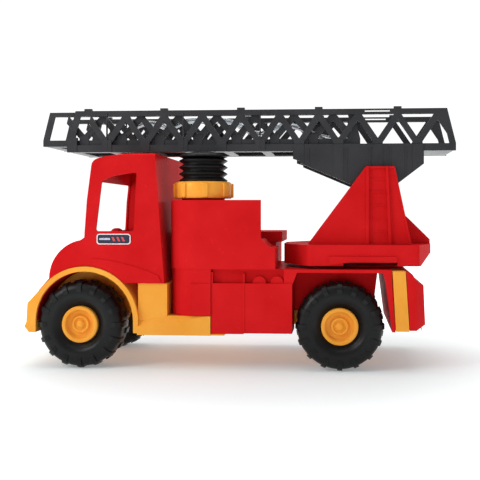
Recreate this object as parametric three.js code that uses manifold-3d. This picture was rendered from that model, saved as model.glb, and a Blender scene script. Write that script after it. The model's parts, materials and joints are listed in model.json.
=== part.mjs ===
// Toy fire engine: a moulded plastic truck with a turntable ladder and a bellows water pump.
// Millimetres, +Z up. X runs forward, Y to the truck's left, Z = 0 is the ground.
// Shapes are drawn with X = 0 at the rear axle; the last lines move the middle of the length to X = 0.
import * as THREE from 'three';
import { mergeVertices } from 'three/addons/utils/BufferGeometryUtils.js';
import { ConvexGeometry } from 'three/addons/geometries/ConvexGeometry.js';
import Module from 'manifold-3d';

const wasm = await Module();
wasm.setup();

// ---- Driving dimensions ----
const GAP = 0.3;                 // clearance between pieces that touch
const WALL = 2.4;                // moulded wall thickness
const FRONT_X = 356.5;           // front lip of the bumper
const REAR_X = -133.5;           // rear end of the ladder
const BODY_HALF = 93;            // half width of fenders, tank and side boxes

const WHEELBASE = 293;
const TYRE_R = 49.5;
const TYRE_W = 44;
const WHEEL_Y = 73;              // middle of a tyre
const HUB_R = 20.7;
const AXLE_R = 3;

const FLOOR_Z = 58;              // underside of the chassis floor
const FLOOR_TOP = 62;
const FLOOR_HALF = 44;
const SILL_Z = 96;               // top of the yellow side panel
const TAIL_X = -40;              // rear end of the floor
const CAB_HALF = 90;
const DECK_Z = 112.4;            // top of the red rear deck

const ARCH_X = 287.5;            // centre of the front wheel arch
const ARCH_Z = 53.5;
const ARCH_IN = 56;
const ARCH_OUT = 61.5;
const SKIRT_Z = 40.5;            // lower edge of fenders and side boxes

const PUMP_X = 158;              // axis of the bellows pump
const PUMP_Y = 55;
const TANK_TOP = 190;
const NECK_R = 24.7;

const SPIN_X = -34;              // axis of the turntable
const RING_R = 52;               // fixed ring under the turntable
const TURRET_Z = 116;
const TURRET_TOP = 139.5;
const TOWER_TOP = 229;
const TOWER_IN = 47.3;           // inner face of each tower
const TOWER_OUT = 58;

const PIVOT_X = -46;             // ladder tilt axis
const PIVOT_Z = 210;
const PIN_R = 5;

const LATTICE_STEP = 45.6;       // one bay of the ladder's side lattice
const MEMBER = 6.6;              // width of a lattice member
const OUTER = { half: 45, z0: 247.5, z1: 296.5, front: 323.3, rear: REAR_X, apex: 298, low: 8.5, high: 6.5 };
const INNER = { half: 39.2, z0: 254.8, z1: 295.6, front: 354.6, rear: -24, apex: 327, low: 7.5, high: 5.4 };
const END_SLANT = 0.25;          // how far an end post leans per mm of height
const POST = 7.5;                // width of an end post
const STRIP_W = 11.5;            // upright strip under each foot of the lattice
const STRIP_OUT = 0.8;           // how far strips and ribs stand proud of the side
const CHEEK_FRONT = 54.4;        // deep plates that carry the tilt pin, below the outer section
const CHEEK_REAR = -96.8;
const CHEEK_TOP = 255.5;

const RED = plastic(0xd81f26, 0.35);
const YELLOW = plastic(0xe99c32, 0.38);
const CHARCOAL = plastic(0x3a3a3d, 0.5);
const BLACK = plastic(0x101011, 0.55);
const TYRE = plastic(0x1c1d1e, 0.6);
const CLEAR = plastic(0xdfe6ea, 0.12);
const STEEL = new THREE.MeshStandardMaterial({ color: 0xb9bcc0, roughness: 0.3, metalness: 1 });
const DECAL = plastic(0x1d2440, 0.3);

const truck = new THREE.Group();

// ---- Building helpers ----
function plastic(color, roughness) {
  return new THREE.MeshStandardMaterial({ color, roughness, metalness: 0 });
}

// Turns a closed three.js geometry into a solid, with its faces pointing out.
function solid(geometry) {
  const bare = geometry.clone();
  bare.deleteAttribute('normal');
  bare.deleteAttribute('uv');
  const merged = mergeVertices(bare, 1e-4);
  const points = merged.attributes.position.array;
  const index = Array.from(merged.index.array);
  const corners = [];
  for (let i = 0; i < index.length; i += 3) {
    const [a, b, c] = index.slice(i, i + 3);
    if (a !== b && b !== c && c !== a) corners.push(a, b, c);
  }
  if (signedVolume(points, corners) < 0) {
    for (let i = 0; i < corners.length; i += 3) {
      [corners[i], corners[i + 1]] = [corners[i + 1], corners[i]];
    }
  }
  return new wasm.Manifold(new wasm.Mesh({
    numProp: 3,
    vertProperties: new Float32Array(points),
    triVerts: new Uint32Array(corners),
  }));
}

function signedVolume(points, corners) {
  const at = (i) => new THREE.Vector3().fromArray(points, 3 * i);
  let total = 0;
  for (let i = 0; i < corners.length; i += 3) {
    total += at(corners[i]).dot(at(corners[i + 1]).cross(at(corners[i + 2])));
  }
  return total;
}

function join(pieces) {
  return pieces.reduce((sum, piece) => sum.add(piece));
}

function box([x0, x1], [y0, y1], [z0, z1]) {
  const geometry = new THREE.BoxGeometry(x1 - x0, y1 - y0, z1 - z0);
  geometry.translate((x0 + x1) / 2, (y0 + y1) / 2, (z0 + z1) / 2);
  return solid(geometry);
}

// The same box on the left and on the right of the truck.
function pair(spanX, [y0, y1], spanZ) {
  return box(spanX, [y0, y1], spanZ).add(box(spanX, [-y1, -y0], spanZ));
}

// A closed outline from corners [u, v] or [u, v, radius]; a corner with a radius is rounded.
function outline(corners) {
  const shape = new THREE.Shape();
  const count = corners.length;
  corners.forEach((corner, i) => {
    const here = new THREE.Vector2(corner[0], corner[1]);
    const before = new THREE.Vector2(...corners[(i + count - 1) % count].slice(0, 2));
    const after = new THREE.Vector2(...corners[(i + 1) % count].slice(0, 2));
    const radius = corner[2] ?? 0;
    const enter = here.clone().add(before.sub(here).setLength(radius));
    const leave = here.clone().add(after.sub(here).setLength(radius));
    if (i === 0) shape.moveTo(enter.x, enter.y);
    else shape.lineTo(enter.x, enter.y);
    if (radius > 0) shape.quadraticCurveTo(here.x, here.y, leave.x, leave.y);
  });
  shape.closePath();
  return shape;
}

function extrude(shape, depth, curveSegments) {
  return new THREE.ExtrudeGeometry(shape, { depth, bevelEnabled: false, curveSegments });
}

// An outline in X and Z, as thick as [y0, y1].
function sideView(shape, [y0, y1], curveSegments = 6) {
  const geometry = extrude(shape, y1 - y0, curveSegments);
  geometry.rotateX(Math.PI / 2);
  geometry.translate(0, y1, 0);
  return solid(geometry);
}

// The same side outline on the left and on the right.
function sidePair(shape, [y0, y1], curveSegments = 6) {
  const left = sideView(shape, [y0, y1], curveSegments);
  return left.add(sideView(shape, [-y1, -y0], curveSegments));
}

// An outline in X and Y, from z0 up to z1.
function planView(shape, [z0, z1], curveSegments = 6) {
  const geometry = extrude(shape, z1 - z0, curveSegments);
  geometry.translate(0, 0, z0);
  return solid(geometry);
}

// An outline in Y and Z, from x0 to x1.
function frontView(shape, [x0, x1], curveSegments = 6) {
  const geometry = extrude(shape, x1 - x0, curveSegments);
  const turn = new THREE.Matrix4().makeBasis(
    new THREE.Vector3(0, 1, 0), new THREE.Vector3(0, 0, 1), new THREE.Vector3(1, 0, 0));
  geometry.applyMatrix4(turn);
  geometry.translate(x0, 0, 0);
  return solid(geometry);
}

function lathe(profile, segments) {
  const points = profile.map(([r, h]) => new THREE.Vector2(r, h));
  const onAxis = profile[0][0] === 0;
  if (!onAxis) points.push(points[0].clone());
  return new THREE.LatheGeometry(points, segments);
}

// A turned piece with its axis along Z, from a profile of [radius, z].
function turnedZ(profile, x, y, segments = 32) {
  const geometry = lathe(profile, segments);
  geometry.rotateX(Math.PI / 2);
  geometry.translate(x, y, 0);
  return solid(geometry);
}

// A turned piece with its axis along Y, from a profile of [radius, y].
function turnedY(profile, x, z, segments = 32) {
  const geometry = lathe(profile, segments);
  geometry.translate(x, 0, z);
  return solid(geometry);
}

function rodY(radius, [y0, y1], x, z, segments = 20) {
  return turnedY([[0, y0], [radius, y0], [radius, y1], [0, y1]], x, z, segments);
}

function rodZ(radius, [z0, z1], x, y, segments = 20) {
  return turnedZ([[0, z0], [radius, z0], [radius, z1], [0, z1]], x, y, segments);
}

function add(name, piece, material) {
  const mesh = piece.getMesh();
  const geometry = new THREE.BufferGeometry();
  geometry.setAttribute('position', new THREE.BufferAttribute(mesh.vertProperties, 3));
  geometry.setIndex(new THREE.BufferAttribute(mesh.triVerts, 1));
  geometry.computeVertexNormals();
  const node = new THREE.Mesh(geometry, material);
  node.name = name;
  truck.add(node);
}

// ---- Chassis: bumper, fenders, running boards and floor in one yellow moulding ----
function archOutline(grow) {
  const shape = new THREE.Shape();
  const outer = ARCH_OUT + grow;
  const cut = THREE.MathUtils.degToRad(45);
  shape.moveTo(ARCH_X - outer, SKIRT_Z);
  shape.lineTo(ARCH_X - outer, ARCH_Z);
  shape.absarc(ARCH_X, ARCH_Z, outer, Math.PI, cut, true);
  shape.lineTo(353 + grow, 73.5 + grow);
  shape.lineTo(354.3 + grow, 52);
  shape.lineTo(FRONT_X + grow, 47);
  shape.lineTo(FRONT_X - 5, SKIRT_Z);
  shape.closePath();
  return shape;
}

function wheelOpening() {
  const shape = new THREE.Shape();
  shape.moveTo(ARCH_X - ARCH_IN, SKIRT_Z - 5);
  shape.lineTo(ARCH_X - ARCH_IN, ARCH_Z);
  shape.absarc(ARCH_X, ARCH_Z, ARCH_IN, Math.PI, 0, true);
  shape.lineTo(ARCH_X + ARCH_IN, SKIRT_Z - 5);
  shape.closePath();
  return shape;
}

function runningBoard() {
  const board = box([144, 227], [FLOOR_HALF - 3, BODY_HALF], [38.5, 60]);
  const tongue = box([128.6, 145], [FLOOR_HALF - 3, BODY_HALF - 2], [38.5, 40.2]);
  // The outer upper edge falls away towards the front wheel.
  const slope = solid(new ConvexGeometry([
    new THREE.Vector3(143, BODY_HALF + 1, 59.5), new THREE.Vector3(143, BODY_HALF + 1, 62),
    new THREE.Vector3(143, BODY_HALF - 1, 62), new THREE.Vector3(226, BODY_HALF + 1, 46.5),
    new THREE.Vector3(226, BODY_HALF + 1, 62), new THREE.Vector3(226, BODY_HALF - 12, 62),
  ]));
  return board.subtract(slope).add(tongue);
}

function bearing(x) {
  return pair([x - 8, x + 8], [36, FLOOR_HALF], [42, FLOOR_Z + 1]);
}

function axleBore(x) {
  return rodY(AXLE_R + GAP, [-60, 60], x, TYRE_R);
}

function chassis() {
  const wells = sideView(wheelOpening(), [-BODY_HALF - 5, BODY_HALF + 5], 12);
  const arches = sidePair(archOutline(0), [48, BODY_HALF], 12).subtract(wells);
  const wellWalls = sidePair(wheelOpening(), [FLOOR_HALF, 48.5], 12)
    .intersect(box([200, 360], [-60, 60], [FLOOR_Z, 120]));
  const bumper = sideView(archOutline(0), [-BODY_HALF, BODY_HALF], 6)
    .intersect(box([ARCH_X + ARCH_IN, FRONT_X + 1], [-BODY_HALF, BODY_HALF], [SKIRT_Z, 81]))
    .subtract(box([ARCH_X + ARCH_IN + 2.5, FRONT_X - 6.5], [-89, 89], [30, 66]));
  const board = runningBoard();
  return join([
    box([TAIL_X, FRONT_X - 8], [-FLOOR_HALF, FLOOR_HALF], [FLOOR_Z, FLOOR_TOP]),
    pair([TAIL_X, 232], [FLOOR_HALF - 3, FLOOR_HALF], [46, FLOOR_TOP]),
    pair([193.8, 227], [FLOOR_HALF - 3, 88], [50, SILL_Z]),
    arches,
    wellWalls,
    bumper,
    board,
    board.mirror([0, 1, 0]),
    bearing(0),
    bearing(WHEELBASE),
  ]).subtract(pair([196.8, 224], [FLOOR_HALF, 85], [30, 93]))
    .subtract(pair([147, 190], [FLOOR_HALF, 90], [30, 57]))
    .subtract(axleBore(0))
    .subtract(axleBore(WHEELBASE));
}

// A hollow yellow band over the rear body, open below.
function rearStrap() {
  const band = outline([[-57.9, 111.3], [-72.2, 111.3], [-76.4, 45], [-61.6, 45]]);
  const hollow = outline([[-60.2, 109], [-70.3, 109], [-74.5, 40], [-63.9, 40]]);
  return sideView(band, [-BODY_HALF, BODY_HALF]).subtract(sideView(hollow, [-90.6, 90.6]));
}

// ---- Cab: a hollow red hood, open below, with open windows ----
function cabOutline(inset) {
  const hoodX = 285;
  const hoodZ = 101.5;
  const hoodR = 44 - inset;
  const shape = new THREE.Shape();
  shape.moveTo(195.5 + inset, 80);
  shape.lineTo(208 + inset, 242.8 - inset);
  shape.lineTo(235 , 243.2 - inset);
  shape.quadraticCurveTo(262, 241.5 - inset, 274 - inset, 237.5 - inset);
  shape.quadraticCurveTo(280.5 - inset, 235 - inset, 281 - inset, 229 - inset);
  shape.lineTo(285.7 - inset, 190);
  shape.lineTo(288.3 - inset, 148);
  shape.absarc(hoodX, hoodZ, hoodR, THREE.MathUtils.degToRad(80), 0, true);
  shape.lineTo(346 - inset, 82);
  shape.lineTo(346 - inset, 80);
  shape.closePath();
  return shape;
}

function cabFront(inset) {
  const half = CAB_HALF - inset;
  return outline([
    [-half, 60], [half, 60], [half, 153], [half - 3, 243.5 - inset, 7], [-half + 3, 243.5 - inset, 7], [-half, 153],
  ]);
}

function cabPlan(inset) {
  const half = CAB_HALF + 2 - inset;
  return outline([
    [195 + inset, -half, 6], [346.5 - inset, -half, 14], [346.5 - inset, half, 14], [195 + inset, half, 6],
  ]);
}

function cabBlock(inset) {
  return sideView(cabOutline(inset), [-CAB_HALF - 2, CAB_HALF + 2], 7)
    .intersect(frontView(cabFront(inset), [150, 400], 4))
    .intersect(planView(cabPlan(inset), [60, 260], 4));
}

// The lower body swells out a little below a curved feature line.
function cabSwage() {
  const swell = new THREE.Shape();
  swell.moveTo(200, 97);
  swell.lineTo(203, 105);
  swell.quadraticCurveTo(240, 121, 279, 124);
  swell.lineTo(279, 97);
  swell.closePath();
  return sidePair(swell, [CAB_HALF - 1, CAB_HALF + 1.2], 8);
}

function cabShell() {
  const below = sideView(archOutline(0.4), [-100, 100], 14);
  const floorCut = box([150, 400], [-100, 100], [50, 81.4]);
  const rearCut = box([150, 245], [-100, 100], [50, SILL_Z + GAP]);
  const window = sideView(outline([
    [275, 155, 3], [268.6, 212, 4], [253, 218, 4], [228.8, 221.3, 3], [231.7, 155, 3],
  ]), [-100, 100]);
  const windscreen = frontView(outline([[-86, 153, 4], [86, 153, 4], [84, 212, 4], [-84, 212, 4]]), [262, 300]);
  return cabBlock(0).add(cabSwage())
    .subtract(cabBlock(WALL).add(box([210, 330], [-CAB_HALF + WALL, CAB_HALF - WALL], [60, 90])))
    .subtract(below)
    .subtract(floorCut)
    .subtract(rearCut)
    .subtract(window)
    .subtract(windscreen);
}

// A plain shelf below the windscreen, with a round dome in the middle.
function dashboard() {
  const shelf = box([262, 281], [-84, 84], [142, 150]);
  const dome = turnedZ([[0, 148], [8.4, 148], [8.2, 151.5], [6, 155.2], [3, 156.8], [0, 157]], 275.5, 0, 24);
  return shelf.add(dome);
}

function cabDecal(side) {
  const badge = outline([[234.9, 140, 4], [273.7, 140, 4], [273.7, 152, 4], [234.9, 152, 4]]);
  const near = side * (CAB_HALF + GAP);
  const far = side * (CAB_HALF + GAP + 0.6);
  return sideView(badge, [Math.min(near, far), Math.max(near, far)], 6);
}

// ---- Water tank with its neck, on the left behind the cab ----
function tankPlan(inset) {
  return outline([
    [95.5 + inset, 9 + inset], [194.6 - inset, 9 + inset, 4], [194.6 - inset, BODY_HALF - inset, 38 - inset],
    [87.2 + inset, BODY_HALF - inset],
  ]);
}

function waterTank() {
  const upper = planView(tankPlan(0), [DECK_Z + GAP, TANK_TOP], 12);
  const lower = planView(outline([
    [143.6, 46.5], [193.6, 46.5], [193.6, BODY_HALF - 0.6, 39], [143.6, BODY_HALF - 0.6],
  ]), [60.3, DECK_Z + 1], 12);
  const panel = box([143.6, 166], [80, BODY_HALF + 0.7], [61, 96.5]);
  const step = sideView(outline([
    [96, DECK_Z + GAP], [71.6, DECK_Z + GAP], [71.6, 137.6], [78.3, 137.6], [86.3, 146], [96, 146],
  ]), [46.5, BODY_HALF]);
  const hollow = planView(tankPlan(WALL), [DECK_Z + GAP + WALL, TANK_TOP - WALL], 12);
  const sump = planView(outline([
    [146.6, 49.5], [190.6, 49.5], [190.6, BODY_HALF - 4, 36], [146.6, BODY_HALF - 4],
  ]), [63.3, DECK_Z + 10], 12);
  const neck = rodZ(NECK_R, [TANK_TOP - 1, 203], PUMP_X, PUMP_Y, 40);
  return join([upper, lower, step, panel, neck])
    .subtract(hollow)
    .subtract(sump)
    .subtract(rodZ(21, [TANK_TOP - 10, 210], PUMP_X, PUMP_Y, 40));
}

function suctionTube() {
  return turnedZ([[2.6, 72], [4, 72], [4, 199], [2.6, 199]], PUMP_X, PUMP_Y, 16);
}

function valvePlate() {
  return turnedZ([[0, 199.3], [20.6, 199.3], [20.6, 201.3], [6, 201.3], [6, 203], [0, 203]], PUMP_X, PUMP_Y, 32);
}

function ringNut() {
  const ring = turnedZ([
    [25.3, 192.3], [33.6, 192.3], [33.6, 209.5], [32, 211.4], [20.8, 211.4], [20.8, 207.2], [25.3, 207.2],
  ], PUMP_X, PUMP_Y, 32);
  const grips = [];
  for (let i = 0; i < 8; i += 1) {
    const rib = box([32, 34.9], [-3.5, 3.5], [193.3, 209.6]);
    grips.push(rib.rotate([0, 0, 102 + 45 * i]).translate([PUMP_X, PUMP_Y, 0]));
  }
  return join([ring, ...grips]);
}

function bellowsFolds() {
  const ridge = 28.2;
  const valley = 23.6;
  const profile = [[0, 203.4], [24.4, 203.4], [24.4, 206.8], [20.2, 206.8], [20.2, 211.8], [ridge - 2, 211.8]];
  for (const [r, z] of [[ridge, 213], [valley, 216.6], [ridge, 220.4], [valley, 224.4], [ridge, 228.3],
    [valley, 232.2], [ridge, 236]]) {
    profile.push([r, z]);
  }
  profile.push([valley, 238.6], [0, 238.6]);
  return turnedZ(profile, PUMP_X, PUMP_Y, 24);
}

function bellowsCap() {
  return turnedZ([
    [0, 238.9], [24, 238.9], [28, 240.7], [26.5, 242.6], [16, 245.2], [0, 246],
  ], PUMP_X, PUMP_Y, 24);
}

// ---- Equipment locker on the right behind the cab, with a lid that overhangs to the rear ----
function lockerBody() {
  const shell = box([77, 189], [-88, 6], [DECK_Z + GAP, 140.2])
    .subtract(box([80, 186], [-85, 3], [DECK_Z + GAP + WALL, 145]));
  const lower = box([143.6, 186], [-88, -46.5], [60.3, DECK_Z + 1])
    .subtract(box([146.6, 183], [-85, -49.5], [50, DECK_Z - 3]));
  return shell.add(lower);
}

function lockerLid() {
  const lid = planView(outline([[69.8, -90, 3], [189.4, -90, 8], [189.4, 7, 3], [69.8, 7, 3]]), [140.6, 153]);
  const under = box([80.5, 185.5], [-84.5, 2.5], [139, 150]);
  return lid.subtract(under);
}

// ---- Rear body: deck, side boxes and rear wheel arches ----
function sideBox() {
  const outer = box([107, 143.2], [46, BODY_HALF - 1], [SKIRT_Z, 97])
    .add(box([52.7, 108], [46, BODY_HALF], [SKIRT_Z + 1, 97]));
  const inner = box([109.5, 140.6], [48.4, BODY_HALF - 3.4], [30, 94.6])
    .add(box([55.2, 105], [48.4, BODY_HALF - 2.4], [30, 94.6]));
  const ledge = box([52.7, 143.2], [46, 84], [96, DECK_Z - 1]);
  const ledgeHollow = box([64, 138], [50, 81], [90, DECK_Z - 4]);
  const ridge = box([105.6, 107.4], [83, BODY_HALF + 0.6], [SKIRT_Z + 1, 97.4])
    .add(box([105.6, 107.4], [83, BODY_HALF - 2], [96, 108]));
  const fin = box([141.4, 143.2], [83, BODY_HALF - 1.5], [96, 109.5]);
  const brace = sideView(outline([[52.7, 95], [46, DECK_Z], [62, DECK_Z], [62, 95]]), [46, 91]);
  const knobs = [89.3, 69.8].map((x) => rodY(7.3, [83, 90], x, 97.6, 24)
    .intersect(box([x - 10, x + 10], [80, 95], [96.5, 110])));
  return join([outer.subtract(inner), ledge, ridge, fin, brace, ...knobs]).subtract(ledgeHollow);
}

function rearBody() {
  const boxes = sideBox();
  const tail = sideView(outline([
    [-46.8, DECK_Z], [-50.5, 99.5], [-57.6, 44], [-61.2, 44], [-57.5, 99.5], [-57.5, DECK_Z],
  ]), [-91, 91]);
  const wellWall = sideView(outline([
    [143.2, FLOOR_TOP + GAP], [-38, FLOOR_TOP + GAP], [-44, DECK_Z - 1], [143.2, DECK_Z - 1],
  ]), [44.3, 47.3]);
  const crossWalls = box([139, 143.2], [-47, 47], [FLOOR_TOP + GAP, DECK_Z - 1])
    .add(box([45, 49], [-47, 47], [FLOOR_TOP + GAP, DECK_Z - 1]));
  return join([
    box([-57.5, 143.2], [-84, 84], [DECK_Z - 3.4, DECK_Z]),
    pair([-57.5, 50], [80, 91], [DECK_Z - 3.4, DECK_Z]),
    wellWall,
    wellWall.mirror([0, 1, 0]),
    crossWalls,
    boxes,
    boxes.mirror([0, 1, 0]),
    tail,
  ]);
}

function rearBumper() {
  const profile = sideView(outline([
    [-72.6, 111.8], [-79.8, 108], [-84, 101], [-92.9, 95.4], [-95.1, 51], [-84, 46], [-76.8, 46],
  ]), [-BODY_HALF, BODY_HALF]);
  const plan = planView(outline([
    [-60, BODY_HALF], [-84, BODY_HALF], [-96, 76], [-96, -76], [-84, -BODY_HALF], [-60, -BODY_HALF],
  ]), [30, 130]);
  const hollow = sideView(outline([
    [-76, 105], [-80, 99], [-89.6, 92.5], [-91.5, 53], [-91.5, 40], [-80, 40],
  ]), [-74, 74]);
  return profile.intersect(plan).subtract(hollow);
}

// ---- Turntable ----
function turntableRing() {
  return turnedZ([
    [0, DECK_Z + GAP], [RING_R, DECK_Z + GAP], [RING_R, 115.2], [9.6, 115.2], [9.6, 134], [0, 134],
  ], SPIN_X, 0, 40);
}

function turretPlan(inset) {
  return outline([
    [66 - inset, -29], [66 - inset, 29, 6], [36 - inset, 80 - inset, 6], [-88 + inset, 80 - inset, 3],
    [-106 + inset, 29], [-106 + inset, -29], [-88 + inset, -80 + inset, 3], [36 - inset, -80 + inset, 6],
  ]);
}

function turretBase() {
  const slab = planView(turretPlan(0), [TURRET_Z, TURRET_TOP]);
  const hollow = planView(turretPlan(WALL), [TURRET_Z - 5, TURRET_TOP - WALL]);
  const heel = sideView(outline([[-91, 110], [-91, 116], [-108, 131], [-120, 131], [-120, 110]]), [-90, 90]);
  const heelFill = sideView(outline([[-84, TURRET_Z], [-91, TURRET_Z], [-107, 130.2], [-107, 136], [-97, 136]]), [-60, 60])
    .intersect(planView(turretPlan(0), [TURRET_Z, TURRET_TOP]));
  const notch = pair([-64, -4], [70, 95], [TURRET_Z - 5, 120]);
  const skirt = sidePair(outline([
    [12, TURRET_Z + 1], [-10, 120.2, 4], [-63.5, 120.2], [-63.5, 126.6], [12, 126.6],
  ]), [78.5, 83]);
  const hub = turnedZ([[10, TURRET_Z], [15, TURRET_Z], [15, TURRET_TOP - 1], [10, TURRET_TOP - 1]], SPIN_X, 0, 32);
  const ramp = sideView(outline([
    [-70, TURRET_TOP - 1], [-70, 173], [-77, 173], [-106, 144.5], [-106, TURRET_TOP - 1],
  ]), [-22, 22]);
  const rampHollow = sideView(outline([
    [-73, TURRET_TOP - 6], [-73, 168.8], [-77, 168.8], [-102, 144], [-102, TURRET_TOP - 6],
  ]), [-19, 19]);
  return join([slab.subtract(hollow).subtract(notch), heelFill, skirt, hub, ramp])
    .subtract(rampHollow)
    .subtract(heel)
    .subtract(rodZ(10, [TURRET_Z - 5, TURRET_TOP - WALL], SPIN_X, 0, 32));
}

function towerOutline() {
  return outline([[36.8, 139.8], [-29.9, TOWER_TOP, 2], [-62.8, TOWER_TOP, 2], [-74.7, 173], [-82, 139.8]]);
}

// One tower: a web with two upright ridges and five rungs between them, like a fixed ladder.
function tower() {
  const web = sideView(towerOutline(), [TOWER_IN, 56]);
  const frontRidge = sideView(outline([[-29.9, 139.8], [-29.9, TOWER_TOP], [-33.2, TOWER_TOP], [-33.2, 139.8]]),
    [55, TOWER_OUT]);
  const rearRidge = sideView(outline([[-55.6, 139.8], [-52.4, TOWER_TOP], [-55.2, TOWER_TOP], [-58.9, 139.8]]),
    [55, TOWER_OUT]);
  const lane = sideView(outline([[-33.2, 141], [-33.2, 226.5], [-52.4, 226.5], [-55.6, 141]]), [54.2, 60]);
  const shade = sideView(outline([[-58.9, 141], [-55.2, 226.5], [-61.5, 226.5], [-72.5, 173], [-79, 141]]), [54.8, 60]);
  const rungs = [153.5, 168.1, 183.8, 198.9, 213.6].map((z) => box([-56, -32], [53, 55.4], [z, z + 1.6])
    .intersect(sideView(outline([[-33, 141], [-33, 226.5], [-52.6, 226.5], [-55.8, 141]]), [50, 60])));
  const socket = rodY(PIN_R + GAP, [40, 53.8], PIVOT_X, PIVOT_Z, 24);
  return join([web.add(frontRidge).add(rearRidge).subtract(lane).subtract(shade), ...rungs]).subtract(socket);
}

function turretCap() {
  return turnedZ([[0, TURRET_TOP + GAP], [13, TURRET_TOP + GAP], [12, 143], [0, 144]], SPIN_X, 0, 28);
}

// ---- Ladder: two nested sections, each with two lattice sides and a floor of rungs ----
function latticeSide(section) {
  const { z0, z1, low, high, half } = section;
  const inner = half - 4.8;
  return sideView(sectionOutline(section, z0, z1, 0), [half - 3, half])
    .subtract(latticeOpenings(section))
    .add(sideView(sectionOutline(section, z0, z0 + low, 0.5), [inner, half - 1]))
    .add(sideView(sectionOutline(section, z1 - high, z1, 0), [inner, half - 1]))
    .add(footStrips(section));
}

// The part of a ladder side between two heights; its ends lean in above the lower rail.
function sectionOutline({ z0, low, front, rear }, from, to, inset) {
  const knee = z0 + low;
  const lean = (z) => END_SLANT * Math.max(0, z - knee);
  const heights = from < knee && to > knee ? [from, knee, to] : [from, to];
  const ahead = heights.map((z) => [front - inset - lean(z), z]);
  const behind = heights.map((z) => [rear + inset + lean(z), z]).reverse();
  return outline([...ahead, ...behind]);
}

// The X of each foot, where two lattice members meet on the lower rail.
function feet({ front, rear, apex }) {
  const found = [];
  for (let x = apex - LATTICE_STEP / 2; x > rear + STRIP_W; x -= LATTICE_STEP) {
    if (x < front - STRIP_W) found.push(x);
  }
  return found;
}

function footStrips(section) {
  const { z0, low, half } = section;
  return join(feet(section).map((x) => (
    box([x - STRIP_W / 2, x + STRIP_W / 2], [half - 1, half + STRIP_OUT], [z0, z0 + low + 6]))));
}

// Triangular openings between the two rails, cut short where they meet an end post.
// The bay in front of the first apex is open up to the front post.
function latticeOpenings(section) {
  const { z0, z1, front, rear, apex, low, high, half } = section;
  const railTop = z1 - high;
  const railLow = z0 + low;
  const bay = LATTICE_STEP / 2;
  const reach = bay - MEMBER / 2 - 1;
  const frontBay = [[apex - 3, railTop], [front, railTop], [front, railLow], [apex + 4, railLow]];
  const openings = [sideView(outline(frontBay), [half - 5, half + 2])];
  for (let top = apex; top > rear - bay; top -= LATTICE_STEP) {
    const under = [[top - reach, railLow], [top + reach, railLow], [top, railTop - MEMBER]];
    const over = [[top - bay - reach, railTop], [top - bay, railLow + MEMBER], [top - bay + reach, railTop]];
    for (const corners of [under, over]) openings.push(sideView(outline(corners), [half - 5, half + 2]));
  }
  const between = sideView(sectionOutline(section, railLow, railTop, POST), [half - 6, half + 3]);
  return join(openings).intersect(between);
}

function outerSide() {
  const { half, z0, z1, front, apex } = OUTER;
  const webs = feet(OUTER).filter((x, i) => i % 2 === 0 && x > CHEEK_FRONT)
    .map((x) => box([x - 0.7, x + 0.7], [half - 2, half + STRIP_OUT + 0.3], [z0 + 3, z1 - 3]));
  const knobs = [0, 2, 4, 6, 8].map((i) => {
    const x = apex - i * LATTICE_STEP;
    return box([x - 4.5, x + 4.5], [half - 4.8, half], [z1 - 1, z1 + 2.5]);
  });
  const block = box([front - 12, front], [half - 4.8, half + STRIP_OUT], [z0, z0 + 17.5]);
  const slot = box([-58, -29], [half - 8, half + 5], [z1 - 3.6, z1 - 1.8]);
  const cheekRoom = box([CHEEK_REAR - 1, CHEEK_FRONT + 1], [half, half + 5], [z0 - 1, CHEEK_TOP + GAP]);
  return join([latticeSide(OUTER), block, ...webs, ...knobs]).subtract(slot).subtract(cheekRoom);
}

// The deep plate under a ladder side. It carries the tilt pin between the towers.
function cheek() {
  const { half, z0 } = OUTER;
  const below = new THREE.Shape();
  below.moveTo(CHEEK_FRONT, z0 - GAP);
  below.lineTo(CHEEK_FRONT, 238.5);
  below.lineTo(46.5, 236);
  below.lineTo(46.2, 233.5);
  below.lineTo(PIVOT_X + 7, 197.5);
  below.absarc(PIVOT_X, PIVOT_Z, 14.5, THREE.MathUtils.degToRad(-66), THREE.MathUtils.degToRad(-127), true);
  below.lineTo(-68.7, 210.9);
  below.lineTo(CHEEK_REAR, 232.4);
  below.lineTo(CHEEK_REAR, z0 - GAP);
  below.closePath();
  const face = half + GAP + 0.7;
  const plateSolid = sideView(below, [half - 3, face], 8);
  const lap = box([CHEEK_REAR, CHEEK_FRONT], [half + GAP, face], [z0 - 2, CHEEK_TOP]);
  const skin = sideView(below, [half - 1, face + STRIP_OUT], 8)
    .add(box([CHEEK_REAR, CHEEK_FRONT], [half + GAP, face + STRIP_OUT], [z0 - 2, CHEEK_TOP]));
  const strips = feet(OUTER).filter((x) => x < CHEEK_FRONT)
    .map((x) => box([x - STRIP_W / 2, x + STRIP_W / 2], [half, half + 4], [190, CHEEK_TOP + 1]));
  const fineRibs = [36, -8, -35, -58, -76]
    .map((x) => box([x - 0.8, x + 0.8], [half, half + 4], [190, CHEEK_TOP - 4]));
  return join([plateSolid, lap, skin.intersect(join([...strips, ...fineRibs]))])
    .subtract(rodY(PIN_R + GAP, [30, 60], PIVOT_X, PIVOT_Z, 24));
}

function ladderFloor({ z0, front, rear }, thick, half) {
  const plate = box([rear + 2, front - 2], [-half, half], [z0, z0 + thick]);
  const slotLength = LATTICE_STEP - 11.6;
  const slots = [];
  for (let x = front - 14; x - slotLength > rear + 8; x -= LATTICE_STEP) {
    slots.push(box([x - slotLength, x], [8 - half, half - 8], [z0 - 1, z0 + thick + 1]));
  }
  return plate.subtract(join(slots));
}

// The outer floor carries two runners for the sliding section.
function outerFloor() {
  const runners = pair([OUTER.rear + 4, OUTER.front - 4], [33, 38.5], [OUTER.z0 + 2, INNER.z0 - GAP]);
  return ladderFloor(OUTER, 2.8, OUTER.half - 4.8 - GAP).add(runners);
}

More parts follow.
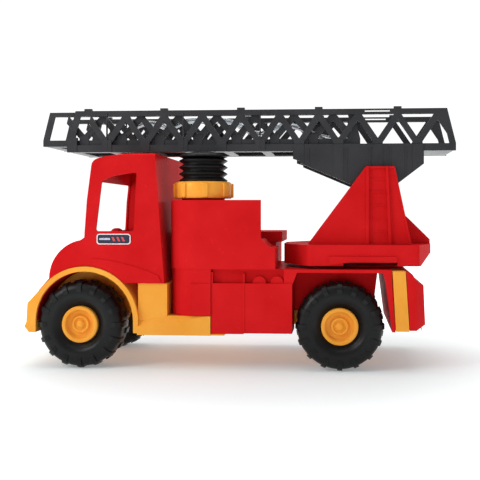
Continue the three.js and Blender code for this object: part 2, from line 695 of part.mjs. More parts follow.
// A clear hose lies in the trough of the sliding section, between a coupling and a nozzle.
const HOSE_R = 3.6;
const HOSE_ROUTE = [
  [272, 8, 267], [258, 14, 273], [246, 20, 280], [232, 24, 284], [218, 26, 282], [206, 27, 277], [196, 28, 280],
  [184, 28.5, 285], [168, 29, 285.8], [152, 29, 285.4], [136, 28.5, 285.4], [122, 27, 281], [108, 25, 273],
  [94, 22, 270], [80, 19, 276], [66, 16, 281], [48, 12, 278], [30, 7, 270], [10, 2, 265.4], [-10, 0, 264.2],
];

function hose() {
  const route = new THREE.CatmullRomCurve3(HOSE_ROUTE.map((p) => new THREE.Vector3(...p)));
  const section = new THREE.Shape();
  section.absarc(0, 0, HOSE_R, 0, 2 * Math.PI);
  const geometry = new THREE.ExtrudeGeometry(section, {
    steps: 44, extrudePath: route, bevelEnabled: false, curveSegments: 4,
  });
  return solid(geometry);
}

// A turned fitting at one end of the hose, pointing along the hose's end direction.
function fitting(profile, end, next) {
  const geometry = lathe(profile, 20);
  const direction = new THREE.Vector3(...end).sub(new THREE.Vector3(...next)).normalize();
  const turn = new THREE.Quaternion().setFromUnitVectors(new THREE.Vector3(0, 1, 0), direction);
  geometry.applyQuaternion(turn);
  geometry.translate(...end);
  return solid(geometry);
}

function nozzle() {
  return fitting([[0, 0.8], [4.6, 0.8], [4.6, 7], [3.4, 10], [2.2, 22], [0, 22]], HOSE_ROUTE[0], HOSE_ROUTE[1]);
}

function coupling() {
  return fitting([[0, 0.8], [5, 0.8], [5, 9], [0, 9]], HOSE_ROUTE.at(-1), HOSE_ROUTE.at(-2));
}

// ---- Wheels ----
function tyre(x, side) {
  const h = TYRE_W / 2;
  const bead = HUB_R + GAP;
  const profile = [
    [bead, 2 - h], [42, -h], [TYRE_R, 6 - h], [TYRE_R, h - 6], [42, h], [bead, h - 2],
    [bead, h - 4.4], [TYRE_R - 3, h - 7], [TYRE_R - 3, 7 - h], [bead, 4.4 - h],
  ];
  return turnedY(profile, x, TYRE_R, 28).translate([0, side * WHEEL_Y, 0]);
}

function hub(x, side) {
  const profile = [
    [0, 8], [AXLE_R + GAP, 8], [AXLE_R + GAP, -19], [7, -19], [7, 9], [18, 9], [18, -19], [HUB_R, -19], [HUB_R, 19.5],
    [16.5, 19.5], [15.5, 13], [9.5, 13], [9.2, 16], [7.2, 16], [7, 14], [4.7, 14], [3.6, 16.6], [0, 17.4],
  ];
  const turned = turnedY(profile, x, TYRE_R, 20);
  const placed = side > 0 ? turned : turned.mirror([0, 1, 0]);
  return placed.translate([0, side * WHEEL_Y, 0]);
}

function axle(x) {
  return rodY(AXLE_R, [-WHEEL_Y - 7.5, WHEEL_Y + 7.5], x, TYRE_R, 24);
}

function screw(x, y) {
  const head = FLOOR_Z - GAP;
  return turnedZ([[0, head - 2.4], [3, head - 2.4], [4.5, head - 1.2], [4.5, head], [0, head]], x, y, 12);
}

// ---- Assembly ----
add('chassis', chassis(), YELLOW);
add('cab_shell', cabShell(), RED);
add('dashboard', dashboard(), RED);
add('cab_decal_left', cabDecal(1), DECAL);
add('cab_decal_right', cabDecal(-1), DECAL);
add('water_tank', waterTank(), RED);
add('suction_tube', suctionTube(), CLEAR);
add('valve_plate', valvePlate(), BLACK);
add('ring_nut', ringNut(), YELLOW);
add('bellows_folds', bellowsFolds(), BLACK);
add('bellows_cap', bellowsCap(), BLACK);
add('locker_body', lockerBody(), RED);
add('locker_lid', lockerLid(), RED);
add('rear_body', rearBody(), RED);
add('rear_strap', rearStrap(), YELLOW);
add('rear_bumper', rearBumper(), RED);
add('turntable_ring', turntableRing(), RED);
add('turret_base', turretBase(), RED);
add('turret_cap', turretCap(), RED);
add('tower_left', tower(), RED);
add('tower_right', tower().mirror([0, 1, 0]), RED);
add('ladder_pin', rodY(PIN_R, [-53.4, 53.4], PIVOT_X, PIVOT_Z, 24), CHARCOAL);
add('ladder_outer_left', outerSide(), CHARCOAL);
add('ladder_outer_right', outerSide().mirror([0, 1, 0]), CHARCOAL);
add('ladder_cheek_left', cheek(), CHARCOAL);
add('ladder_cheek_right', cheek().mirror([0, 1, 0]), CHARCOAL);
add('ladder_outer_floor', outerFloor(), CHARCOAL);
add('ladder_inner_left', latticeSide(INNER), CHARCOAL);
add('ladder_inner_right', latticeSide(INNER).mirror([0, 1, 0]), CHARCOAL);
add('ladder_inner_floor', ladderFloor(INNER, 2.4, INNER.half - 4.8 - GAP), CHARCOAL);
add('hose', hose(), CLEAR);
add('hose_nozzle', nozzle(), BLACK);
add('hose_coupling', coupling(), BLACK);

for (const [end, x] of [['front', WHEELBASE], ['rear', 0]]) {
  add(`${end}_axle`, axle(x), STEEL);
  for (const [hand, side] of [['left', 1], ['right', -1]]) {
    add(`${end}_${hand}_hub`, hub(x, side), YELLOW);
    add(`${end}_${hand}_tyre`, tyre(x, side), TYRE);
  }
}

let screwCount = 0;
for (const x of [-30, 175]) {
  for (const y of [-28, 28]) {
    screwCount += 1;
    add(`floor_screw_${screwCount}`, screw(x, y), STEEL);
  }
}

truck.position.x = -(FRONT_X + REAR_X) / 2;

export default truck;
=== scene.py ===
"""Looks of the toy fire engine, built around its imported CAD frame.

Metres, +X forward, +Y the truck's left, +Z up, ground at Z = 0.
Each piece is a softened copy of one CAD node, or a finer piece made to stand for it.
"""

import json
import math

import bmesh
import bpy
from mathutils import Matrix, Vector

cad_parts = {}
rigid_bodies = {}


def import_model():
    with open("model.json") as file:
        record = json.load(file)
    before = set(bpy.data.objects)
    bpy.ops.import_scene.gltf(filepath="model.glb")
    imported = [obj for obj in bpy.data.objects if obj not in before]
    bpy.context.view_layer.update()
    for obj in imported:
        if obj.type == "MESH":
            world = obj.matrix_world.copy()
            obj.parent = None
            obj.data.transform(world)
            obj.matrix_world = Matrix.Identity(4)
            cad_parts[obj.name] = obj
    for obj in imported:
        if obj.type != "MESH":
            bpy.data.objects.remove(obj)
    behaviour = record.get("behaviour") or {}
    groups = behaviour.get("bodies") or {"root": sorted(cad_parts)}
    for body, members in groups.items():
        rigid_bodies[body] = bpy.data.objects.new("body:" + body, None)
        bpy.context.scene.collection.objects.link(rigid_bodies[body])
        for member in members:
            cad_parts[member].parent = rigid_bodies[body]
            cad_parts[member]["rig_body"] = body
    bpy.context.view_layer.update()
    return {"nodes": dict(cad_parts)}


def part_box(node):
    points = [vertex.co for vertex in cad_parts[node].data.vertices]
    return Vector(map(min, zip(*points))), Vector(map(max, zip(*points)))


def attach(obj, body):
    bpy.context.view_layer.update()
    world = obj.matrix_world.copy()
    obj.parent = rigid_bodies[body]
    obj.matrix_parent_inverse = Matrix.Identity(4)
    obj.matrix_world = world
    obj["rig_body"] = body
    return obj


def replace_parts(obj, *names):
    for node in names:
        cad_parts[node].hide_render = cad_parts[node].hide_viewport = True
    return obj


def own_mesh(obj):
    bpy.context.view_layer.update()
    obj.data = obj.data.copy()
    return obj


MM = 0.001
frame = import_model()
NODES = frame["nodes"]


# ---- Places taken from the frame ----
def middle(node):
    low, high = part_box(node)
    return (low + high) / 2


WHEELS = [f"{end}_{hand}" for end in ("front", "rear") for hand in ("left", "right")]
TYRE_R = (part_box("rear_left_tyre")[1].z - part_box("rear_left_tyre")[0].z) / 2
PUMP = middle("bellows_folds")


# ---- Materials ----
def from_srgb(red, green, blue):
    def channel(value):
        share = value / 255
        return share / 12.92 if share <= 0.04045 else ((share + 0.055) / 1.055) ** 2.4

    return (channel(red), channel(green), channel(blue))


def new_material(name):
    material = bpy.data.materials.new(name)
    material.use_nodes = True
    tree = material.node_tree
    return material, tree, tree.nodes["Principled BSDF"]


def noise(tree, scale, detail=3.0, stretch=(1, 1, 1)):
    place = tree.nodes.new("ShaderNodeTexCoord")
    mapping = tree.nodes.new("ShaderNodeMapping")
    mapping.inputs["Scale"].default_value = stretch
    texture = tree.nodes.new("ShaderNodeTexNoise")
    texture.inputs["Scale"].default_value = scale
    texture.inputs["Detail"].default_value = detail
    tree.links.new(place.outputs["Object"], mapping.inputs["Vector"])
    tree.links.new(mapping.outputs["Vector"], texture.inputs["Vector"])
    return texture.outputs["Fac"]


def between(tree, fac, low, high):
    """Maps a noise to a range of values."""
    spread = tree.nodes.new("ShaderNodeMapRange")
    spread.inputs["From Min"].default_value = 0.3
    spread.inputs["From Max"].default_value = 0.7
    spread.inputs["To Min"].default_value = low
    spread.inputs["To Max"].default_value = high
    tree.links.new(fac, spread.inputs["Value"])
    return spread.outputs["Result"]


def two_tone(tree, fac, dark, light):
    ramp = tree.nodes.new("ShaderNodeValToRGB")
    first, last = ramp.color_ramp.elements
    first.position, first.color = 0.35, (*dark, 1)
    last.position, last.color = 0.65, (*light, 1)
    tree.links.new(fac, ramp.inputs["Fac"])
    return ramp.outputs["Color"]


def relief(tree, shader, layers):
    """Stacks bump layers of (noise, depth in metres, strength)."""
    before = None
    for height, depth, strength in layers:
        bump = tree.nodes.new("ShaderNodeBump")
        bump.inputs["Distance"].default_value = depth
        bump.inputs["Strength"].default_value = strength
        tree.links.new(height, bump.inputs["Height"])
        if before:
            tree.links.new(before, bump.inputs["Normal"])
        before = bump.outputs["Normal"]
    tree.links.new(before, shader.inputs["Normal"])


def moulded(name, dark, light, gloss, grain, clear=0.35, coloured=0.0):
    """Injection-moulded plastic: slow colour drift, uneven gloss, faint sink marks and a fine skin.

    Its reflections are partly clear and partly coloured by the plastic.
    """
    material, tree, shader = new_material(name)
    tree.links.new(two_tone(tree, noise(tree, 22), dark, light), shader.inputs["Base Color"])
    tree.links.new(between(tree, noise(tree, 90, 4), *gloss), shader.inputs["Roughness"])
    shader.inputs["Specular IOR Level"].default_value = clear
    shader.inputs["Metallic"].default_value = coloured
    relief(tree, shader, [
        (noise(tree, 24, 0), 0.8 * MM, 0.15),
        (noise(tree, 700, 1), 0.05 * MM, grain),
    ])
    return material


def rubber(name, dark, light):
    material, tree, shader = new_material(name)
    tree.links.new(two_tone(tree, noise(tree, 160, 5), dark, light), shader.inputs["Base Color"])
    tree.links.new(between(tree, noise(tree, 240, 4), 0.34, 0.5), shader.inputs["Roughness"])
    shader.inputs["Specular IOR Level"].default_value = 0.25
    relief(tree, shader, [
        (noise(tree, 60, 1), 0.5 * MM, 0.1),
        (noise(tree, 900, 2), 0.08 * MM, 0.15),
    ])
    return material


def clear_plastic():
    """A soft clear tube: slightly milky, with flow lines along it."""
    material, tree, shader = new_material("clear_plastic")
    haze = noise(tree, 120, 3, (0.3, 1, 1))
    milky, pale = from_srgb(205, 214, 220), from_srgb(238, 242, 245)
    tree.links.new(two_tone(tree, haze, milky, pale), shader.inputs["Base Color"])
    tree.links.new(between(tree, noise(tree, 200), 0.08, 0.2), shader.inputs["Roughness"])
    shader.inputs["Transmission Weight"].default_value = 0.75
    shader.inputs["IOR"].default_value = 1.42
    relief(tree, shader, [(noise(tree, 400, 2, (0.2, 1, 1)), 0.1 * MM, 0.2)])
    return material


def steel():
    """Zinc-plated wire steel with drawing marks around it."""
    material, tree, shader = new_material("steel")
    drawn = noise(tree, 300, 4, (1, 12, 1))
    tree.links.new(two_tone(tree, drawn, (0.42, 0.43, 0.44), (0.6, 0.6, 0.61)), shader.inputs["Base Color"])
    tree.links.new(between(tree, drawn, 0.22, 0.42), shader.inputs["Roughness"])
    shader.inputs["Metallic"].default_value = 1.0
    relief(tree, shader, [(drawn, 0.05 * MM, 0.2)])
    return material


def printed(name, dark, light):
    """Glossy printed film with a slight orange-peel surface."""
    material, tree, shader = new_material(name)
    tree.links.new(two_tone(tree, noise(tree, 500, 3), dark, light), shader.inputs["Base Color"])
    tree.links.new(between(tree, noise(tree, 150), 0.2, 0.32), shader.inputs["Roughness"])
    relief(tree, shader, [(noise(tree, 900, 2), 0.03 * MM, 0.3)])
    return material


MATERIALS = {
    "red_plastic": moulded("red_plastic", from_srgb(204, 27, 30), from_srgb(214, 33, 36),
                           (0.2, 0.28), 0.06, clear=0.0, coloured=0.12),
    "yellow_plastic": moulded("yellow_plastic", from_srgb(243, 160, 54), from_srgb(249, 174, 68),
                              (0.28, 0.38), 0.06, clear=0.1, coloured=0.08),
    "charcoal_plastic": moulded("charcoal_plastic", from_srgb(41, 41, 44), from_srgb(50, 50, 53),
                                (0.3, 0.4), 0.12),
    "bellows_rubber": rubber("bellows_rubber", from_srgb(5, 5, 6), from_srgb(11, 11, 12)),
    "tyre_plastic": moulded("tyre_plastic", from_srgb(11, 11, 12), from_srgb(17, 17, 18),
                            (0.34, 0.44), 0.12, clear=0.25),
    "clear_plastic": clear_plastic(),
    "steel": steel(),
    "decal": printed("decal", from_srgb(24, 28, 52), from_srgb(32, 38, 66)),
}
DECAL_BORDER = printed("decal_border", from_srgb(236, 222, 226), from_srgb(248, 238, 240))
DECAL_STRIPE = printed("decal_stripe", from_srgb(196, 60, 66), from_srgb(214, 84, 84))
DECAL_PALE = printed("decal_pale", from_srgb(176, 182, 200), from_srgb(206, 210, 222))


# ---- Pieces ----
def show(mesh, name, slot, body, node=None, material=None):
    """Makes a mesh a piece of the truck, with a material, a body to ride on and the node it stands for."""
    piece = bpy.data.objects.new(name, mesh)
    bpy.context.scene.collection.objects.link(piece)
    mesh.materials.clear()
    mesh.materials.append(material or MATERIALS[slot])
    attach(piece, body)
    if node:
        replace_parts(piece, node)
    return piece


def body_of_node(node):
    return NODES[node]["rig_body"]


def smooth(mesh):
    for polygon in mesh.polygons:
        polygon.use_smooth = True


EDGE_ANGLE = 28                  # degrees; sharper edges are rounded


def soften(piece, width, segments=2, angle=EDGE_ANGLE):
    """Rounds a piece's hard edges and keeps its flat faces flat."""
    smooth(piece.data)
    bevel = piece.modifiers.new("edges", "BEVEL")
    bevel.width = width
    bevel.segments = segments
    bevel.limit_method = "ANGLE"
    bevel.angle_limit = math.radians(angle)
    bevel.use_clamp_overlap = True
    bevel.miter_outer = "MITER_ARC"
    weighted = piece.modifiers.new("shading", "WEIGHTED_NORMAL")
    weighted.keep_sharp = False
    weighted.weight = 100
    return piece


WELD = 0.004 * MM


def clean_copy(node):
    """A CAD node's mesh with its corners shared between faces."""
    mesh = NODES[node].data.copy()
    work = bmesh.new()
    work.from_mesh(mesh)
    bmesh.ops.remove_doubles(work, verts=work.verts, dist=WELD)
    work.to_mesh(mesh)
    work.free()
    return mesh


EDGE_WIDTH = 0.7 * MM            # rounding of the moulded parts' edges
THIN_EDGE_WIDTH = 0.4 * MM       # and of the ladder's thin bars


def refine(node, slot, width=EDGE_WIDTH):
    """A softened copy that stands for a CAD node whose shape is right."""
    piece = show(clean_copy(node), f"{node}_shown", slot, body_of_node(node), node)
    return soften(piece, width)


def lathe(profile, place, segments=96):
    """A turned mesh about Z from a closed profile of (radius, height); place turns and moves it."""
    work = bmesh.new()
    rings = []
    for step in range(segments):
        angle = 2 * math.pi * step / segments
        ring = [work.verts.new((r * math.cos(angle), r * math.sin(angle), h)) for r, h in profile]
        rings.append(ring)
    for step in range(segments):
        here, after = rings[step], rings[(step + 1) % segments]
        for i in range(len(profile)):
            j = (i + 1) % len(profile)
            work.faces.new((here[i], after[i], after[j], here[j]))
    bmesh.ops.remove_doubles(work, verts=work.verts, dist=0.001 * MM)
    bmesh.ops.transform(work, matrix=place, verts=work.verts)
    bmesh.ops.recalc_face_normals(work, faces=work.faces)
    mesh = bpy.data.meshes.new("turned")
    work.to_mesh(mesh)
    work.free()
    smooth(mesh)
    return mesh


def rounded(profile, radius, closed=True):
    """Cuts each corner of a profile of (u, v) off with one short straight step."""
    count = len(profile)
    points = []
    for i, corner in enumerate(profile):
        here = Vector(corner)
        if not closed and i in (0, count - 1):
            points.append(tuple(here))
            continue
        for other in (profile[i - 1], profile[(i + 1) % count]):
            away = Vector(other) - here
            if away.length < 1e-9:
                continue
            points.append(tuple(here + away.normalized() * min(radius, away.length * 0.45)))
    return points


def block(low, high):
    work = bmesh.new()
    size = Vector(high) - Vector(low)
    centre = (Vector(high) + Vector(low)) / 2
    bmesh.ops.create_cube(work, size=1, matrix=Matrix.Translation(centre) @ Matrix.Diagonal((*size, 1)))
    mesh = bpy.data.meshes.new("block")
    work.to_mesh(mesh)
    work.free()
    return mesh


def plate(outline, low, high):
    """An outline of (x, z) made solid from y = low to y = high."""
    work = bmesh.new()
    near = [work.verts.new((x, low, z)) for x, z in outline]
    far = [work.verts.new((x, high, z)) for x, z in outline]
    work.faces.new(near)
    work.faces.new(list(reversed(far)))
    for i in range(len(outline)):
        j = (i + 1) % len(outline)
        work.faces.new((near[i], far[i], far[j], near[j]))
    bmesh.ops.recalc_face_normals(work, faces=work.faces)
    mesh = bpy.data.meshes.new("plate")
    work.to_mesh(mesh)
    work.free()
    return mesh


def joined(meshes, name):
    work = bmesh.new()
    for mesh in meshes:
        work.from_mesh(mesh)
        bpy.data.meshes.remove(mesh)
    whole = bpy.data.meshes.new(name)
    work.to_mesh(whole)
    work.free()
    return whole


def round_box(low_u, high_u, low_v, high_v, radius, steps=6):
    """Corners of a rectangle with rounded corners."""
    points = []
    corners = [
        (high_u - radius, high_v - radius, 0), (low_u + radius, high_v - radius, 90),
        (low_u + radius, low_v + radius, 180), (high_u - radius, low_v + radius, 270),
    ]
    for u, v, start in corners:
        for step in range(steps + 1):
            angle = math.radians(start + 90 * step / steps)
            points.append((u + radius * math.cos(angle), v + radius * math.sin(angle)))
    return points


# ---- Wheels ----
LUGS = 16                        # on each side of a tyre
LUG_HEIGHT = 1.7 * MM
LUG_FOOT = 0.5 * MM              # height of a lug where it starts on the sidewall
LUG_HALF = 2.9 * MM              # half of a lug's width
LUG_ROOT = -0.6                  # share of its height that a lug goes into the casing
BEAD_R = 21.0 * MM               # inner edge of a tyre
HUB_HALF = 19.5 * MM             # half of a hub's width
HUB_R = 20.7 * MM


def wheel_place(node, side):
    """Moves a turned mesh to a wheel, its height pointing out of the truck."""
    turn = Matrix.Rotation(math.radians(-90 * side), 4, "X")
    return Matrix.Translation(middle(node)) @ turn


def tyre_skin(half):
    """Half of the tyre's outer surface, as (radius, height), from the sidewall to the tread."""
    base = TYRE_R - LUG_HEIGHT
    return [
        (36.5 * MM, half), (41 * MM, half - 0.6 * MM), (44.6 * MM, half - 2.6 * MM),
        (46.8 * MM, half - 5.6 * MM), (base, half - 9.5 * MM), (base, 0.8 * MM),
    ]


def tyre_profile(half):
    """The tyre's whole section; its sidewall slopes in towards the hub."""
    outer = [
        (BEAD_R, half - 9 * MM), (BEAD_R, half - 6.4 * MM), (23.4 * MM, half - 6 * MM),
        (27.4 * MM, half - 1.8 * MM), (31 * MM, half),
    ]
    skin = outer + tyre_skin(half)
    return skin + [(r, -h) for r, h in reversed(skin)]


def lug(skin, angle, side):
    """One raised bar that follows the skin from the sidewall to the middle of the tread."""
    work = bmesh.new()
    rows = []
    for i, (r, h) in enumerate(skin):
        before, after = skin[max(i - 1, 0)], skin[min(i + 1, len(skin) - 1)]
        along = Vector((after[0] - before[0], after[1] - before[1])).normalized()
        out = Vector((-along.y, along.x)) * (LUG_HEIGHT if i > 0 else LUG_FOOT)
        row = []
        for lift in (LUG_ROOT, 1):
            for across in (-LUG_HALF, LUG_HALF):
                radius, height = r + out.x * lift, h + out.y * lift
                row.append(work.verts.new((radius, across, side * height)))
        rows.append(row)
    for here, after in zip(rows, rows[1:]):
        for a, b in ((0, 1), (1, 3), (3, 2), (2, 0)):
            work.faces.new((here[a], here[b], after[b], after[a]))
    for end in (rows[0], rows[-1]):
        work.faces.new((end[0], end[1], end[3], end[2]))
    bmesh.ops.recalc_face_normals(work, faces=work.faces)
    bmesh.ops.rotate(work, matrix=Matrix.Rotation(angle, 3, "Z"), verts=work.verts)
    mesh = bpy.data.meshes.new("lug")
    work.to_mesh(mesh)
    work.free()
    return mesh


def tyre(wheel, side):
    """A casing with raised bars, those of its two sides half a pitch apart."""
    node = f"{wheel}_tyre"
    low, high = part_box(node)
    half = (high.y - low.y) / 2
    place = wheel_place(node, side)
    casing = show(
        lathe(rounded(tyre_profile(half), 0.8 * MM), place),
        f"{node}_casing", "tyre_plastic", body_of_node(node), node,
    )
    casing.data.name = f"{node}_casing"
    step = 2 * math.pi / LUGS
    skin = tyre_skin(half)
    lugs = [lug(skin, step * i, 1) for i in range(LUGS)]
    lugs += [lug(skin, step * (i + 0.5), -1) for i in range(LUGS)]
    bars = joined(lugs, f"{node}_lugs")
    bars.transform(place)
    soften(show(bars, f"{node}_lugs", "tyre_plastic", body_of_node(node)), EDGE_WIDTH)


def hub(wheel, side):
    """A dished wheel centre with a raised ring and a domed cap over the axle's end."""
    node = f"{wheel}_hub"
    profile = [
        (0, -HUB_HALF + 1 * MM), (18 * MM, -HUB_HALF + 1 * MM), (HUB_R, -HUB_HALF + 3 * MM),
        (HUB_R, HUB_HALF - 0.8 * MM), (20 * MM, HUB_HALF), (16.4 * MM, HUB_HALF),
        (15.4 * MM, 13 * MM), (10 * MM, 13 * MM), (9.6 * MM, 16 * MM),
        (7.3 * MM, 16 * MM), (6.8 * MM, 14 * MM), (4.8 * MM, 14 * MM), (4.6 * MM, 15.6 * MM),
        (3.4 * MM, 16.9 * MM), (1.6 * MM, 17.4 * MM), (0, 17.4 * MM),
    ]
    turned = lathe(rounded(profile, 0.5 * MM, closed=False), wheel_place(f"{wheel}_tyre", side))
    show(turned, f"{node}_shown", "yellow_plastic", body_of_node(node), node)


# ---- Dark red lining of each front wheel arch ----
ARCH_CENTRE = (0.176, 0.0535)    # x and z
ARCH_R = 55.9 * MM
LINING = 0.3 * MM
LINING_EDGE = 3.5 * MM           # the yellow rim left showing
LINING_DEPTH = 38 * MM


def arch_lining(hand, side):
    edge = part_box("chassis")[1].y - LINING_EDGE
    ring = []
    for radius, angles in ((ARCH_R, range(0, 181, 5)), (ARCH_R - LINING, range(180, -1, -5))):
        for angle in angles:
            turn = math.radians(angle)
            ring.append((ARCH_CENTRE[0] + radius * math.cos(turn), ARCH_CENTRE[1] + radius * math.sin(turn)))
    low, high = sorted((side * edge, side * (edge - LINING_DEPTH)))
    name = f"arch_lining_{hand}"
    soften(show(plate(ring, low, high), name, "red_plastic", "chassis"), 0.05 * MM, 1, 40)


# ---- Pump ----
FOLD_LINES = 7                   # ridges and valleys of the bellows, in turn
FOLD_RISE = 3.78 * MM
FIRST_RIDGE = 9.6 * MM
FOLD_DEPTH = 4.6 * MM
GRIPS = 8
GRIP_START = 102                 # degrees
GRIP_PROUD = 2.2 * MM
GRIP_HALF = 3.5 * MM


def bellows_folds():
    low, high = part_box("bellows_folds")
    ridge = (high.x - low.x) / 2
    valley = ridge - FOLD_DEPTH
    base = low.z
    heights = [base + FIRST_RIDGE + FOLD_RISE * i for i in range(FOLD_LINES)]
    outline = [(0, base), (24.2 * MM, base), (24.2 * MM, base + 3.4 * MM), (20.4 * MM, base + 4.6 * MM),
               (20.4 * MM, base + 7.6 * MM), (ridge - 3 * MM, base + 8.4 * MM)]
    for i, z in enumerate(heights):
        if i % 2 == 0:
            outline += [(ridge - 0.7 * MM, z - 0.8 * MM), (ridge, z), (ridge - 0.7 * MM, z + 0.8 * MM)]
        else:
            outline += [(valley, z - 0.5 * MM), (valley, z + 0.5 * MM)]
    outline += [(valley, high.z), (0, high.z)]
    place = Matrix.Translation((PUMP.x, PUMP.y, 0))
    folds = show(lathe(outline, place), "bellows_rings", "bellows_rubber", body_of_node("bellows_folds"),
                 "bellows_folds")
    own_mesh(folds)


def bellows_dome():
    low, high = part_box("bellows_cap")
    rim = (high.x - low.x) / 2
    dome = [(0, low.z), (24 * MM, low.z), (rim - 0.8 * MM, low.z + 1.2 * MM), (rim, low.z + 2 * MM),
            (rim - 0.8 * MM, low.z + 2.9 * MM), (26 * MM, low.z + 4.2 * MM), (21 * MM, low.z + 5.6 * MM),
            (14 * MM, low.z + 6.9 * MM), (6 * MM, high.z - 0.1 * MM), (0, high.z)]
    place = Matrix.Translation((PUMP.x, PUMP.y, 0))
    show(lathe(dome, place), "bellows_dome", "bellows_rubber", body_of_node("bellows_cap"), "bellows_cap")


def ring_nut():
    """A smooth band with rounded grips around it."""
    low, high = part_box("ring_nut")
    grip_r = (high.x - low.x) / 2
    outer = grip_r - GRIP_PROUD
    ring = [
        (25.4 * MM, low.z), (outer - 0.4 * MM, low.z), (outer, low.z + 0.8 * MM), (outer, high.z - 2.6 * MM),
        (outer - 0.9 * MM, high.z - 0.8 * MM), (outer - 2.4 * MM, high.z), (21.4 * MM, high.z),
        (20.8 * MM, high.z - 0.6 * MM), (20.8 * MM, high.z - 4 * MM), (25.4 * MM, high.z - 4.2 * MM),
    ]
    place = Matrix.Translation((PUMP.x, PUMP.y, 0))
    show(lathe(ring, place), "ring_nut_band", "yellow_plastic", "nut", "ring_nut")
    grips = []
    for i in range(GRIPS):
        grip = block((outer - 1.5 * MM, -GRIP_HALF, low.z + 0.9 * MM), (grip_r, GRIP_HALF, high.z - 1.9 * MM))
        grip.transform(place @ Matrix.Rotation(math.radians(GRIP_START + i * 360 / GRIPS), 4, "Z"))
        grips.append(grip)
    soften(show(joined(grips, "ring_nut_grips"), "ring_nut_grips", "yellow_plastic", "nut"), 1.0 * MM, 3)


# ---- Hose ----
def hose():
    piece = show(clean_copy("hose"), "hose_tube", "clear_plastic", "ladder_slide", "hose")
    smooth(piece.data)
    rounder = piece.modifiers.new("round", "SUBSURF")
    rounder.levels = 2
    rounder.render_levels = 2


# ---- Cab badge: a plain striped label with no lettering ----
BADGE_EDGE = 1.1 * MM            # width of the pale border
FILM = 0.12 * MM                 # thickness of one printed layer
BAR_STARTS = (0.16, 0.3, 0.44)   # shares of the badge's length
BAR_WIDTH = 2.6 * MM
BAR_SLANT = 2.2 * MM


def badge(hand, side):
    node = f"cab_decal_{hand}"
    low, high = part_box(node)
    face = high.y if side > 0 else low.y
    base = low.y if side > 0 else high.y
    width, height = high.x - low.x, high.z - low.z

    def layer(name, inset, thickness, material, radius):
        outline = round_box(low.x + inset, high.x - inset, low.z + inset, high.z - inset, radius)
        mesh = plate(outline, base, face + side * thickness)
        return show(mesh, f"{node}_{name}", "decal", "chassis", material=material)

    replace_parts(layer("border", 0, 0, DECAL_BORDER, 3.2 * MM), node)
    layer("field", BADGE_EDGE, FILM, MATERIALS["decal"], 2.4 * MM)
    surface = face + side * 2 * FILM
    bars = []
    bottom, top = low.z + 0.3 * height, low.z + 0.7 * height
    for share in BAR_STARTS:
        start = low.x + width * share
        end = start + BAR_WIDTH
        corners = [(start, bottom), (end, bottom), (end + BAR_SLANT, top), (start + BAR_SLANT, top)]
        bars.append(plate(corners, face, surface))
    show(joined(bars, f"{node}_bars"), f"{node}_bars", "decal", "chassis", material=DECAL_STRIPE)
    line = round_box(
        low.x + 0.6 * width, high.x - 3 * MM, low.z + 0.42 * height, low.z + 0.6 * height, 0.8 * MM,
    )
    show(plate(line, face, surface), f"{node}_line", "decal", "chassis", material=DECAL_PALE)


# ---- Every node ----
PLAIN = {
    "red_plastic": [
        "cab_shell", "dashboard", "water_tank", "locker_body", "locker_lid", "rear_body", "rear_bumper",
        "turntable_ring", "turret_base", "turret_cap", "tower_left", "tower_right",
    ],
    "yellow_plastic": ["chassis", "rear_strap"],
    "charcoal_plastic": ["ladder_pin", "ladder_outer_floor", "ladder_inner_floor"],
    "bellows_rubber": ["valve_plate", "hose_nozzle", "hose_coupling"],
    "clear_plastic": ["suction_tube"],
    "steel": ["front_axle", "rear_axle", *[f"floor_screw_{i}" for i in (1, 2, 3, 4)]],
}
for slot_name, plain_nodes in PLAIN.items():
    for plain in plain_nodes:
        refine(plain, slot_name)
for section in ("outer", "inner", "cheek"):
    for hand_name in ("left", "right"):
        refine(f"ladder_{section}_{hand_name}", "charcoal_plastic", THIN_EDGE_WIDTH)
for wheel_name in WHEELS:
    hand_sign = 1 if wheel_name.endswith("left") else -1
    tyre(wheel_name, hand_sign)
    hub(wheel_name, hand_sign)
bellows_folds()
bellows_dome()
ring_nut()
hose()
for hand_name, hand_sign in (("left", 1), ("right", -1)):
    badge(hand_name, hand_sign)
    arch_lining(hand_name, hand_sign)


# ---- Studio ----
FLOOR_HALF = 6.0
CAMERA = Vector((middle("rear_axle").x, 0.998, 0.1742))
YAW = math.radians(4)            # turned a little towards the front
FOCAL = 61.4
SHIFT = (-0.0885, -0.054)
FLOOR_PAINTED_GLOW = (0.24, 0.85)        # painted light: the floor glows a little by itself, and glows less where the truck stands, a painted shadow under it
PAINTED_SHADOW_RADII = (0.2, 0.55)         # distances from the truck over which that painted shadow fades
BACKDROP = 1.08                  # brightness of the studio wall behind the truck
FRONT_WALL = 0.42                # and of the walls behind the camera and behind the truck
WALL_TURN = (0.25, -0.97, 0)     # the way from the truck to the bright wall
WALL_FADE = (0.3, 0.85)          # where it starts and stops, as the cosine of the angle from that way


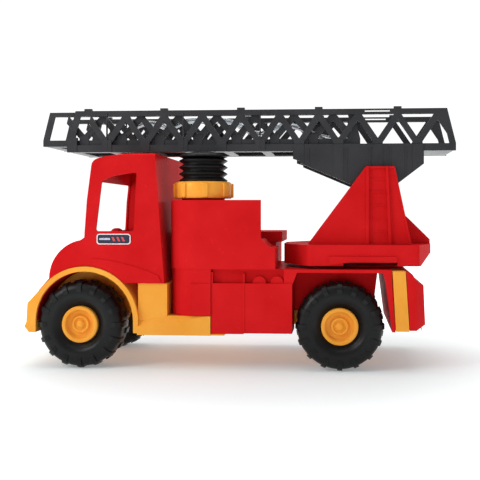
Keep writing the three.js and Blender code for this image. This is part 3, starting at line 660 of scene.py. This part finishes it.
def studio_floor():
    mesh = block((-FLOOR_HALF, -FLOOR_HALF, -0.02), (FLOOR_HALF, FLOOR_HALF, 0))
    material, tree, shader = new_material("studio_floor")
    tone = two_tone(tree, noise(tree, 3), (0.72, 0.78, 0.79), (0.75, 0.81, 0.82))
    tree.links.new(tone, shader.inputs["Base Color"])
    shader.inputs["Roughness"].default_value = 0.7
    shader.inputs["Specular IOR Level"].default_value = 0.1
    shader.inputs["Emission Color"].default_value = (1, 1, 1, 1)
    place = tree.nodes.new("ShaderNodeTexCoord")
    distance = tree.nodes.new("ShaderNodeVectorMath")
    distance.operation = "LENGTH"
    # painted light: the floor's own glow, dimmer near the truck as a painted shadow under it
    painted_glow = tree.nodes.new("ShaderNodeMapRange")
    painted_glow.interpolation_type = "SMOOTHSTEP"
    painted_glow.inputs["From Min"].default_value, painted_glow.inputs["From Max"].default_value = PAINTED_SHADOW_RADII
    painted_glow.inputs["To Min"].default_value, painted_glow.inputs["To Max"].default_value = FLOOR_PAINTED_GLOW
    tree.links.new(place.outputs["Object"], distance.inputs[0])
    tree.links.new(distance.outputs["Value"], painted_glow.inputs["Value"])
    tree.links.new(painted_glow.outputs["Result"], shader.inputs["Emission Strength"])
    mesh.materials.append(material)
    floor = bpy.data.objects.new("studio_floor", mesh)
    bpy.context.scene.collection.objects.link(floor)


def softbox(name, place, target, size, power):
    light = bpy.data.lights.new(name, "AREA")
    light.shape = "RECTANGLE"
    light.size, light.size_y = size
    light.energy = power
    lamp = bpy.data.objects.new(name, light)
    bpy.context.scene.collection.objects.link(lamp)
    lamp.location = place
    lamp.rotation_euler = (Vector(target) - Vector(place)).to_track_quat("-Z", "Y").to_euler()


def studio_walls():
    """A white wall on the far side of the truck that falls to grey on the near side and behind the truck."""
    world = bpy.data.worlds.new("studio_walls")
    world.use_nodes = True
    tree = world.node_tree
    direction = tree.nodes.new("ShaderNodeTexCoord")
    across = tree.nodes.new("ShaderNodeVectorMath")
    across.operation = "DOT_PRODUCT"
    across.inputs[1].default_value = WALL_TURN
    fade = tree.nodes.new("ShaderNodeMapRange")
    fade.interpolation_type = "SMOOTHSTEP"
    fade.inputs["From Min"].default_value, fade.inputs["From Max"].default_value = WALL_FADE
    fade.inputs["To Min"].default_value = FRONT_WALL
    fade.inputs["To Max"].default_value = BACKDROP
    tree.links.new(direction.outputs["Generated"], across.inputs[0])
    tree.links.new(across.outputs["Value"], fade.inputs["Value"])
    tree.links.new(fade.outputs["Result"], tree.nodes["Background"].inputs["Strength"])
    tree.nodes["Background"].inputs["Color"].default_value = (1, 1, 1, 1)
    bpy.context.scene.world = world


def studio_light():
    softbox("key", (0.95, 0.8, 0.8), (0, 0, 0.12), (0.5, 0.7), 6.5)
    softbox("top", (0.1, -0.2, 1.5), (0, -0.1, 0), (1.4, 1.4), 11)
    studio_walls()
    bpy.context.scene.view_settings.view_transform = "Standard"


def camera():
    data = bpy.data.cameras.new("photo_camera")
    data.lens = FOCAL
    data.sensor_width = 36
    data.shift_x, data.shift_y = SHIFT
    data.dof.use_dof = False
    data.clip_start, data.clip_end = 0.01, 50
    eye = bpy.data.objects.new("photo_camera", data)
    bpy.context.scene.collection.objects.link(eye)
    eye.location = CAMERA
    ahead = Vector((math.sin(YAW), -math.cos(YAW), 0))
    eye.rotation_euler = ahead.to_track_quat("-Z", "Y").to_euler()
    bpy.context.scene.camera = eye


studio_floor()
studio_light()
camera()
